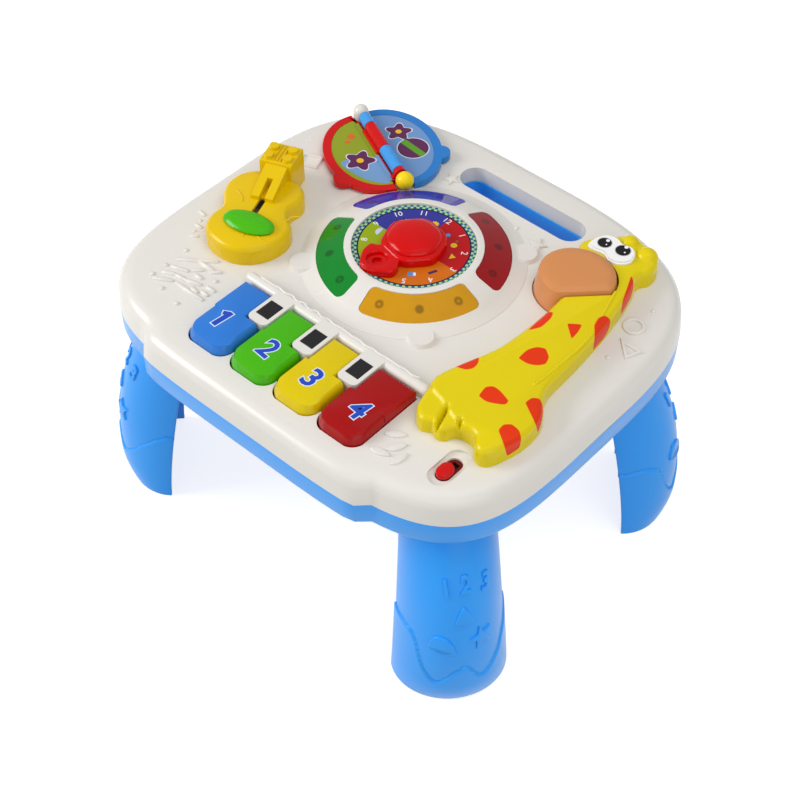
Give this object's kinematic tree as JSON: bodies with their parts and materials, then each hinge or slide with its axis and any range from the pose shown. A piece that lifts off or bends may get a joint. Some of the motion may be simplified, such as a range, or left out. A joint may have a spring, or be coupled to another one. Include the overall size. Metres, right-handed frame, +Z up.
{
  "type": "musical activity table",
  "caption": "Low plastic play table on bowed legs: piano keys, guitar slider, hinged drum book, clock pointer, light windows, giraffe push button, carrying slot",
  "frame": {"origin": "on the floor, under the centre of the table top", "axes": "+X along the piano from the child's left to right, +Y from the piano to the carrying slot, +Z up"},
  "size_m": [0.3344, 0.292, 0.215],
  "materials": {
    "white_shell": "satin gloss ivory",
    "blue_shell": "satin gloss sky blue",
    "key_blue": "gloss",
    "key_green": "gloss",
    "key_yellow": "gloss",
    "key_red": "gloss",
    "black": "satin black",
    "print": "printed card",
    "red": "gloss red",
    "green": "gloss green",
    "yellow": "gloss yellow",
    "drum_blue": "gloss blue",
    "peach": "gloss peach",
    "eye_white": "gloss white with printed pupils",
    "lens_green": "clear green plastic",
    "lens_amber": "clear amber plastic",
    "lens_red": "clear dark red plastic",
    "lens_violet": "clear violet plastic",
    "steel": "zinc plated",
    "board": "green lacquered board",
    "silicone": "matt silicone",
    "grey_plastic": "matt",
    "led": "clear lamp body",
    "paper_cone": "black paper",
    "wiper": "brass contact disc",
    "cell": "plain wrapped cell"
  },
  "bodies": {
    "table": {"top_shell": "white_shell", "bottom_shell": "blue_shell", "leg_front_left": "blue_shell", "leg_front_right": "blue_shell", "leg_back_left": "blue_shell", "leg_back_right": "blue_shell", "leg_screws": "steel", "shell_screws": "steel", "key_axle": "steel", "key_inserts": "black", "key_pads": "silicone", "main_board": "board", "board_screws": "steel", "sound_chip": "black", "dial_disc": "print", "window_green": "lens_green", "window_amber": "lens_amber", "window_red": "lens_red", "window_violet": "lens_violet", "lamp_board": "board", "lamp_leds": "led", "lamp_screws": "steel", "hinge_pin": "steel", "end_ball": "yellow", "guitar_body": "yellow", "giraffe_body": "yellow", "giraffe_eyes": "eye_white", "nose_pad": "silicone", "nose_board": "board", "figure_screws": "steel", "switch_body": "steel", "switch_screws": "steel", "speaker_frame": "grey_plastic", "speaker_cone": "paper_cone", "speaker_clamp": "grey_plastic", "speaker_screws": "steel", "battery_cells": "cell", "battery_contacts": "steel", "battery_door": "blue_shell", "door_screw": "steel"},
    "key_1_body": {"key_1": "key_blue"},
    "key_2_body": {"key_2": "key_green"},
    "key_3_body": {"key_3": "key_yellow"},
    "key_4_body": {"key_4": "key_red"},
    "pointer_body": {"pointer": "red", "pointer_wiper": "wiper", "pointer_screw": "steel"},
    "red_leaf_body": {"red_leaf": "red", "red_knuckles": "red", "red_pictures": "print"},
    "blue_leaf_body": {"blue_leaf": "drum_blue", "blue_knuckles": "drum_blue", "blue_pictures": "print"},
    "strum_body": {"guitar_slider": "green", "slider_clip": "grey_plastic"},
    "nose_body": {"nose_button": "peach"},
    "switch_knob_body": {"switch_knob": "red"}
  },
  "joints": [
    {"name": "key_1_press", "type": "hinge", "parent": "table", "child": "key_1_body", "pos_m": [0.0027, -0.0628, 0.178], "axis": [1, 0, 0], "range_deg": [0, 4], "stiffness_Nm_per_rad": 0.6},
    {"name": "key_2_press", "type": "hinge", "parent": "table", "child": "key_2_body", "pos_m": [0.0027, -0.0628, 0.178], "axis": [1, 0, 0], "range_deg": [0, 4], "stiffness_Nm_per_rad": 0.6},
    {"name": "key_3_press", "type": "hinge", "parent": "table", "child": "key_3_body", "pos_m": [0.0027, -0.0628, 0.178], "axis": [1, 0, 0], "range_deg": [0, 4], "stiffness_Nm_per_rad": 0.6},
    {"name": "key_4_press", "type": "hinge", "parent": "table", "child": "key_4_body", "pos_m": [0.0027, -0.0628, 0.178], "axis": [1, 0, 0], "range_deg": [0, 4], "stiffness_Nm_per_rad": 0.6},
    {"name": "pointer_turn", "type": "hinge", "parent": "table", "child": "pointer_body", "pos_m": [-0.0076, 0.0201, 0.186], "axis": [0, 0, 1], "continuous": true},
    {"name": "blue_leaf_turn", "type": "hinge", "parent": "table", "child": "blue_leaf_body", "pos_m": [-0.0937, 0.0848, 0.195], "axis": [0.8988, -0.4384, 0], "range_deg": [0, 180]},
    {"name": "red_leaf_turn", "type": "hinge", "parent": "table", "child": "red_leaf_body", "pos_m": [-0.0937, 0.0848, 0.195], "axis": [-0.8988, 0.4384, 0], "range_deg": [0, 180]},
    {"name": "strum_slide", "type": "slide", "parent": "table", "child": "strum_body", "axis": [-0.3584, 0.9336, 0], "range_m": [0, 0.012]},
    {"name": "nose_press", "type": "slide", "parent": "table", "child": "nose_body", "axis": [0, 0, -1], "range_m": [0, 0.004], "stiffness_N_per_m": 600},
    {"name": "power_slide", "type": "slide", "parent": "table", "child": "switch_knob_body", "axis": [0, 1, 0], "range_m": [0, 0.007]}
  ]
}
